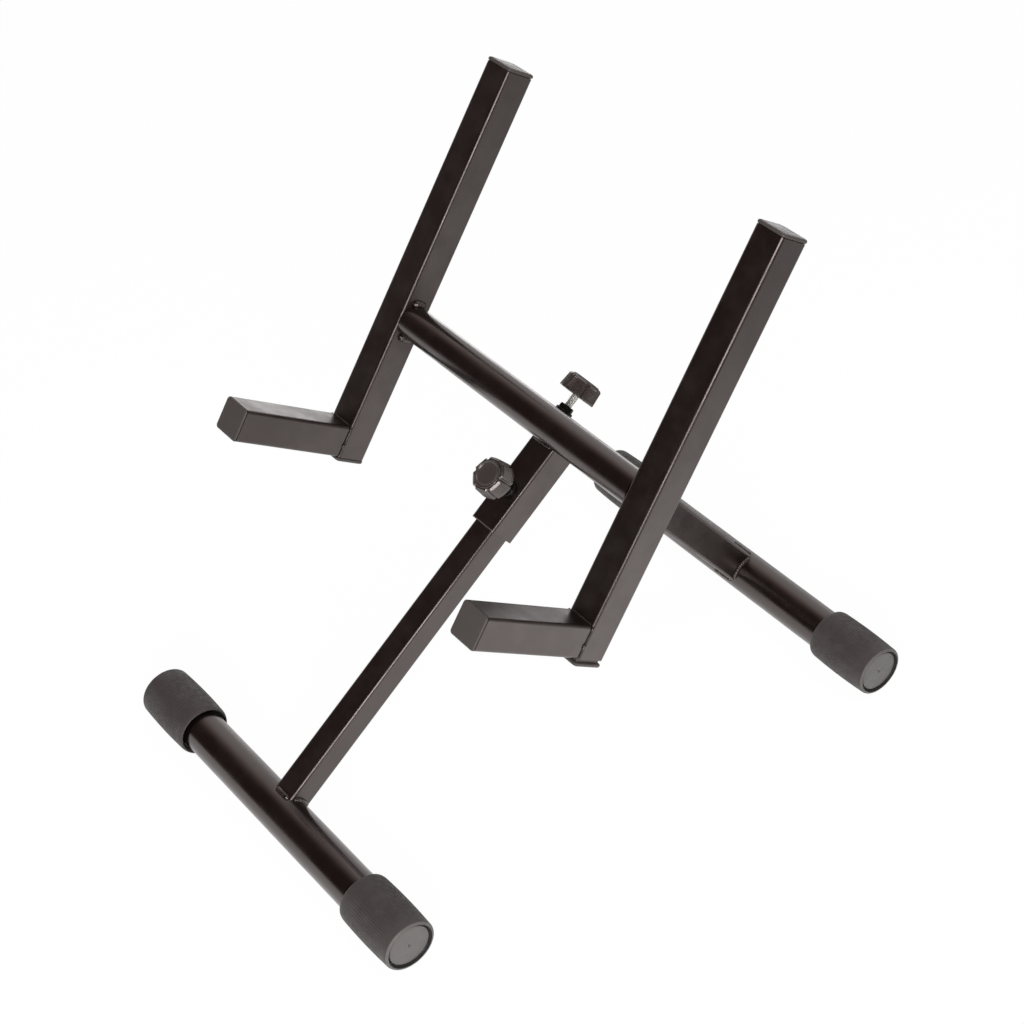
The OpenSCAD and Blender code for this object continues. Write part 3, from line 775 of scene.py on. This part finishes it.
def make_cap(node, seat, out):
    """A moulded cap: a hidden plug, a flange with a rounded edge and a barely domed face."""
    flange = reach(node, out)[1] - seat.dot(out)
    gap = max(0.0, flange - FLANGE[node.split("_")[-1]])
    width = size_along(node, SIDE)
    plug = ARM_TUBE - 2 * PLUG_INSET
    levels = [
        (plug - PLUG_TAPER, PLUG_TIP_CORNER_R, gap - PLUG_DEPTH),
        (plug, PLUG_CORNER_R, gap - PLUG_DEPTH + PLUG_LEAD_IN),
        (plug, PLUG_CORNER_R, gap),
        (ARM_TUBE - 2 * CAP_SEAM, CORNER_R, gap),
        (width, CORNER_R, gap + CAP_SEAM),
    ]
    for step in range(CAP_EDGE_STEPS + 1):
        a = math.pi / 2 * step / CAP_EDGE_STEPS
        inset = 2 * CAP_EDGE_R * (1 - math.cos(a))
        z = flange - CAP_EDGE_R + (CAP_EDGE_R - CAP_DOME) * math.sin(a)
        levels.append((width - inset, CORNER_R, z))
    levels.append((ARM_TUBE * CAP_FLAT_SHARE, CORNER_R, flange))
    rings = [square_ring(*level) for level in levels]
    count = len(rings[0])
    numbers = [range(k * count, (k + 1) * count) for k in range(len(rings))]
    faces = [tuple(reversed(numbers[0]))] + skin(numbers, closed=False) + [tuple(numbers[-1])]
    shape = [point for ring in rings for point in ring], faces
    name, matrix = f"{node}_moulded", placed(seat, out)
    crisp(new_piece(name, shape, CAP_PLASTIC, matrix, "support", [node]), 40)


def along_arm(x, value):
    """The point on an arm's centre line at a given reach along the arm."""
    return Vector((x, CROSSBAR.y, CROSSBAR.z)) + ARM_UP * (value - CROSSBAR.dot(ARM_UP))


for side, sign in SIDES:
    bottom, top = reach(f"{side}_arm", ARM_UP)
    make_cap(f"{side}_arm_top_cap", along_arm(sign * ARM_X, top), ARM_UP)
    make_cap(f"{side}_arm_bottom_cap", along_arm(sign * ARM_X, bottom), -ARM_UP)
    lip_axis = along_arm(sign * ARM_X, bottom + ARM_TUBE / 2)
    lip_end = reach(f"{side}_lip", ARM_FRONT)[1] - lip_axis.dot(ARM_FRONT)
    make_cap(f"{side}_lip_plug", lip_axis + ARM_FRONT * lip_end, ARM_FRONT)

# ---- Weld beads ----

BEAD_R = 2.3 * MM
ARM_BEAD_R = 3.2 * MM
ARM_BEAD_OUT = 1.1 * MM
ARM_SEAM_ANGLE = math.radians(27)
TACK_R = 1.5 * MM
TACK_SPANS = ((0.28, 0.5), (0.87, 0.99))
FINE_SEAM_R = 0.7 * MM
HALF_SEAM = ARM_TUBE / 2 - CORNER_R
SEAM_STEPS = 14
RIPPLE = 1.7 * MM
BEAD_SIDES = 20
BEAD_STEP = 0.3 * MM
BEAD_TAPER = (-0.3 * MM, 2.2 * MM)
# Shares of a bead's radius, and how many lumps or grains there are in about a metre.
CORE_SHARE, RIPPLE_SHARE, LUMP_SHARE, GRAIN_SHARE = 0.92, 0.10, 0.16, 0.08
LUMPS, GRAINS = 420, 700


def bead(path, seed, radius):
    """A weld bead along a list of points: a fat line with a ripple for each step of the torch."""
    length = sum((b - a).length for a, b in zip(path, path[1:]))
    count = max(8, int(length / BEAD_STEP))
    points, rings = [], []
    for k in range(count + 1):
        t = k / count * (len(path) - 1)
        start = min(int(t), len(path) - 2)
        place = path[start].lerp(path[start + 1], t - start)
        tangent = (path[start + 1] - path[start]).normalized()
        across = tangent.orthogonal().normalized()
        up = tangent.cross(across)
        taper = math.sqrt(smooth_step(min(k, count - k) * BEAD_STEP, *BEAD_TAPER))
        lump = LUMP_SHARE * noise.noise(place * LUMPS + Vector((seed, 0, 0)))
        ripple = RIPPLE_SHARE * (1 - wave(TURN * k * BEAD_STEP / RIPPLE))
        r = radius * taper * (CORE_SHARE + lump + ripple)
        rings.append(range(len(points), len(points) + BEAD_SIDES))
        for s in range(BEAD_SIDES):
            a = TURN * s / BEAD_SIDES
            grain = noise.noise(place * GRAINS + Vector((math.cos(a), math.sin(a), seed)))
            rough = 1 + GRAIN_SHARE * grain
            points.append(place + (across * math.cos(a) + up * math.sin(a)) * r * rough)
    ends = [tuple(reversed(rings[0])), tuple(rings[-1])]
    return points, ends + skin(rings, closed=False)


def line(middle, half):
    """A straight seam along X."""
    return [middle - SIDE * half, middle + SIDE * half]


def round_seam(middle, radius, towards, half_angle):
    """A seam round a bar along X: an arc centred on a direction, at one X."""
    across = SIDE.cross(towards)
    turns = [half_angle * (2 * k / SEAM_STEPS - 1) for k in range(SEAM_STEPS + 1)]
    return [middle + radius * (towards * math.cos(a) + across * math.sin(a)) for a in turns]


def saddle(bar, radius, tube, along, across):
    """The four seams, each with its bead's radius, of a square tube that stands on a round bar."""
    half = tube / 2
    rise = math.sqrt(radius * radius - half * half)
    reach_angle = math.asin((half - BEAD_R) / radius)
    paths = [line(bar + along * rise + across * sign * half, half - CORNER_R) for sign in (-1, 1)]
    paths += [round_seam(bar + SIDE * sign * half, radius, along, reach_angle) for sign in (-1, 1)]
    return [(path, BEAD_R) for path in paths]


def arm_seams(sign):
    """The seams on one side of the support: by the crossbar's end, the lip and the stem."""
    inner = CROSSBAR + SIDE * sign * (ARM_X - ARM_TUBE / 2)
    seams = [(round_seam(inner, CROSSBAR_R + ARM_BEAD_OUT, up, ARM_SEAM_ANGLE), ARM_BEAD_R)
             for up in (ARM_UP, -ARM_UP)]
    foot = along_arm(sign * ARM_X, reach("right_arm", ARM_UP)[0])
    for edge in (-1, 1):
        corner = foot + (ARM_FRONT + SIDE * edge) * ARM_TUBE / 2
        for span in TACK_SPANS:
            seams.append(([corner + ARM_UP * ARM_TUBE * share for share in span], TACK_R))
    over_lip = foot + ARM_UP * ARM_TUBE + ARM_FRONT * ARM_TUBE / 2
    seams.append((line(over_lip, HALF_SEAM), FINE_SEAM_R))
    stem_back = math.sqrt(CROSSBAR_R**2 - (SLIDE_TUBE / 2) ** 2)
    stem_side = CROSSBAR + REAR_DOWN * stem_back + LEG_UP * sign * SLIDE_TUBE / 2
    seams.append((line(stem_side, SLIDE_TUBE / 2 - CORNER_R), BEAD_R))
    return seams


def make_welds(name, seams, body, node):
    """All the beads of one CAD node as one piece; a seam is a path and its bead's radius."""
    shape = joined(bead(path, seed, radius) for seed, (path, radius) in enumerate(seams))
    new_piece(name, shape, WELD_PAINT, Matrix.Identity(4), body, [node])


make_welds("support_weld_beads", arm_seams(-1) + arm_seams(1), "support", "support_welds")

under_rear_leg = CROSSING - LEG_UP * LEG_TUBE / 2
sleeve_sides = [under_rear_leg + REAR_DOWN * sign * LEG_TUBE / 2 for sign in (-1, 1)]
frame_seams = [(line(middle, HALF_SEAM), BEAD_R) for middle in sleeve_sides]
frame_seams += saddle(REAR_BASE, BASE_R, LEG_TUBE, -REAR_DOWN, LEG_UP)
make_welds("frame_weld_beads", frame_seams, "frame", "frame_welds")
front_seams = saddle(FRONT_BASE, BASE_R, SLIDE_TUBE, LEG_UP, REAR_DOWN)
make_welds("front_leg_weld_beads", front_seams, "front_leg_unit", "front_leg_weld")

# ---- Paint on the CAD's own tubes ----

END_EDGE_W = 0.45 * MM
END_EDGE_SEGMENTS = 3
END_EDGE_ANGLE = math.radians(60)


def repaint(node, material):
    """Gives a CAD node that stays a better material."""
    target = frame["nodes"][node]
    target.data.materials.clear()
    target.data.materials.append(material)


SQUARE_TUBES = {
    "rear_leg": (CROSSING, REAR_DOWN, LEG_TUBE),
    "front_sleeve": (CROSSING, LEG_UP, LEG_TUBE),
    "front_leg": (CROSSING, LEG_UP, SLIDE_TUBE),
    "support_stem": (CROSSING, REAR_DOWN, SLIDE_TUBE),
}
for side, sign in SIDES:
    arm_place = along_arm(sign * ARM_X, CROSSBAR.dot(ARM_UP))
    lip_place = along_arm(sign * ARM_X, reach(f"{side}_arm", ARM_UP)[0] + ARM_TUBE / 2)
    SQUARE_TUBES[f"{side}_arm"] = (arm_place, ARM_UP, ARM_TUBE)
    SQUARE_TUBES[f"{side}_lip"] = (lip_place, ARM_FRONT, ARM_TUBE)
for node, (origin, direction, tube) in SQUARE_TUBES.items():
    joint = ARM_TUBE / 2 if node.endswith("_lip") else None
    end = reach(node, direction)[0] - origin.dot(direction) if node == "front_sleeve" else None
    paint = tube_paint(f"{node}_paint", placed(origin, direction), tube, joint, end)
    repaint(node, paint)
for node in ("front_base_tube", "rear_base_tube", "crossbar"):
    repaint(node, ROUND_PAINT)
for node in ("front_leg_glide", "stem_glide"):
    repaint(node, CAP_PLASTIC)
for node in ("front_sleeve", "rear_leg"):
    edge = frame["nodes"][node].modifiers.new("deburred_end", "BEVEL")
    edge.width = END_EDGE_W
    edge.segments = END_EDGE_SEGMENTS
    edge.limit_method = "ANGLE"
    edge.angle_limit = END_EDGE_ANGLE

# ---- Camera ----

AZIMUTH = math.radians(54.09)
ELEVATION = math.radians(38.53)
ROLL = math.radians(-1.95)
DISTANCE = 1.6404
AIM = Vector((0.0136, -0.0142, 0.2007))
SENSOR = 36
FOCAL_PIXELS = 2332.7
IMAGE_PIXELS = 1024

level = math.cos(ELEVATION)
back = Vector((math.sin(AZIMUTH) * level, -math.cos(AZIMUTH) * level, math.sin(ELEVATION)))
camera_data = bpy.data.cameras.new("camera")
camera_data.sensor_width = SENSOR
camera_data.lens = SENSOR * FOCAL_PIXELS / IMAGE_PIXELS
camera = bpy.data.objects.new("camera", camera_data)
camera.location = AIM + back * DISTANCE
camera.rotation_mode = "QUATERNION"
camera.rotation_quaternion = (-back).to_track_quat("-Z", "Y") @ Quaternion((0, 0, 1), ROLL)
bpy.context.scene.collection.objects.link(camera)
bpy.context.scene.camera = camera

# ---- Stage and light ----

WHITE = (1, 1, 1, 1)
SKY_STRENGTH = 0.25
# The directions that are dark in reflections. A range is how far towards one, as a cosine, the
# studio starts to darken, and where it has its darkest level.
DARK_SIDE = Vector((0.3, -0.83, 0.47)).normalized()
DARK_RANGE = (-0.26, 0.44)
DARK_TINT = (1.0, 0.66, 0.56, 1)
DARK_LEVEL = 0.07
FLAG = Vector((0.28, 0.95, 0.14)).normalized()
FLAG_RANGE = (0.9, 0.975)
FLAG_LEVEL = 0.12
BACKDROP_WHITE = 1.03
FLOOR_HALF = 4
FLOOR_GREY = (0.82, 0.82, 0.82, 1)
FLOOR_ROUGHNESS = 0.9
FLOOR_WHITE = 0.94
# The floor's brightness in reflections: two places in metres along an axis, and the levels there.
RIGHT_NEAR = (-0.05, 0.35, 1.12, 1.6)
RIGHT_FAR = (0.55, 1.1, 1.0, 0.12)
BEHIND = (0.1, 0.5, 1.0, 0.55)
IN_FRONT = (-1.4, -0.5, 0.2, 1.0)
CORNER_LEFT = (-0.9, -0.4, 2.5, 0.0)
CORNER_BEHIND = (0.3, 0.8, 0.0, 1.0)


class Stage(Nodes):
    """Nodes that show white where the camera looks, and a studio with dark sides in reflections."""

    def __init__(self, tree):
        super().__init__(tree)
        self.path = self.add("ShaderNodeLightPath").outputs

    def shown(self, in_reflection):
        """White for the camera, and the given level for the rays of a reflection."""
        camera = self.path["Is Camera Ray"]
        reflected = self.product(in_reflection, self.math("SUBTRACT", 1, camera))
        return self.math("ADD", self.product(camera, BACKDROP_WHITE), reflected)

    def seen(self, share=1.0):
        """share for camera, glossy and transmission rays, 0 for those that light the object."""
        rays = self.math("MAXIMUM", self.path["Is Camera Ray"], self.path["Is Glossy Ray"])
        return self.product(self.math("MAXIMUM", rays, self.path["Is Transmission Ray"]), share)

    def show(self, factor, plain, white, output):
        """Shows the white shader where the factor is 1 and the plain one elsewhere."""
        inputs = {"Fac": factor, 1: plain.outputs[0], 2: white.outputs[0]}
        node = self.add("ShaderNodeMixShader", inputs)
        self.feed(self.tree.nodes[output].inputs["Surface"], node.outputs[0])


def make_world():
    """A soft sky for light; white to the camera; dark in front and to the right in reflections."""
    world = bpy.data.worlds.new("studio")
    bpy.context.scene.world = world
    world.use_nodes = True
    stage = Stage(world.node_tree)
    sky = stage.tree.nodes["Background"]
    sky.inputs["Color"].default_value = WHITE
    sky.inputs["Strength"].default_value = SKY_STRENGTH
    direction = stage.add("ShaderNodeTexCoord").outputs["Generated"]

    def towards(side):
        inputs = {0: direction, 1: side}
        node = stage.add("ShaderNodeVectorMath", inputs, operation="DOT_PRODUCT")
        return node.outputs["Value"]

    dark = stage.ramp(towards(DARK_SIDE), *DARK_RANGE, 1.0, DARK_LEVEL)
    flag = stage.ramp(towards(FLAG), *FLAG_RANGE, 1.0, FLAG_LEVEL)
    level = stage.shown(stage.product(dark, flag))
    tint = stage.two_colours(level, DARK_TINT, WHITE)
    white = stage.add("ShaderNodeBackground", {"Strength": level, "Color": tint})
    stage.show(stage.seen(), sky, white, "World Output")


def make_floor():
    """A pale floor that looks white and keeps a faint shadow of the object."""
    corners = [(x * FLOOR_HALF, y * FLOOR_HALF, 0) for x, y in ((-1, -1), (1, -1), (1, 1), (-1, 1))]
    mesh = bpy.data.meshes.new("floor")
    mesh.from_pydata(corners, [], [(0, 1, 2, 3)])
    floor = bpy.data.objects.new("floor", mesh)
    bpy.context.scene.collection.objects.link(floor)
    material = bpy.data.materials.new("floor")
    material.use_nodes = True
    stage = Stage(material.node_tree)
    matt = stage.tree.nodes["Principled BSDF"]
    matt.inputs["Base Color"].default_value = FLOOR_GREY
    matt.inputs["Roughness"].default_value = FLOOR_ROUGHNESS
    matt.inputs["Specular IOR Level"].default_value = 0
    x, y, _ = stage.axes(stage.add("ShaderNodeTexCoord").outputs["Object"])
    gradients = ((x, RIGHT_NEAR), (x, RIGHT_FAR), (y, BEHIND), (y, IN_FRONT))
    floor_level = stage.product(*(stage.ramp(axis, *gradient) for axis, gradient in gradients))
    corner = stage.product(stage.ramp(x, *CORNER_LEFT), stage.ramp(y, *CORNER_BEHIND))
    level = stage.shown(stage.math("ADD", floor_level, corner))
    white = stage.add("ShaderNodeEmission", {"Strength": level})
    stage.show(stage.seen(FLOOR_WHITE), matt, white, "Material Output")
    mesh.materials.append(material)


def softbox(name, direction, distance, width, height, watts):
    """A soft rectangular lamp that faces the object from a direction."""
    data = bpy.data.lights.new(name, "AREA")
    data.shape = "RECTANGLE"
    data.size, data.size_y = width, height
    data.energy = watts
    lamp = bpy.data.objects.new(name, data)
    lamp.location = AIM + Vector(direction).normalized() * distance
    lamp.rotation_mode = "QUATERNION"
    lamp.rotation_quaternion = Vector(direction).to_track_quat("Z", "Y")
    bpy.context.scene.collection.objects.link(lamp)


make_world()
make_floor()
softbox("key", (0.7, -0.6, 0.38), distance=2.2, width=1.2, height=0.9, watts=36)
softbox("top", (0.2, 0.3, 1), distance=2.4, width=1.6, height=1.6, watts=14)

bpy.context.scene.view_settings.view_transform = "Standard"
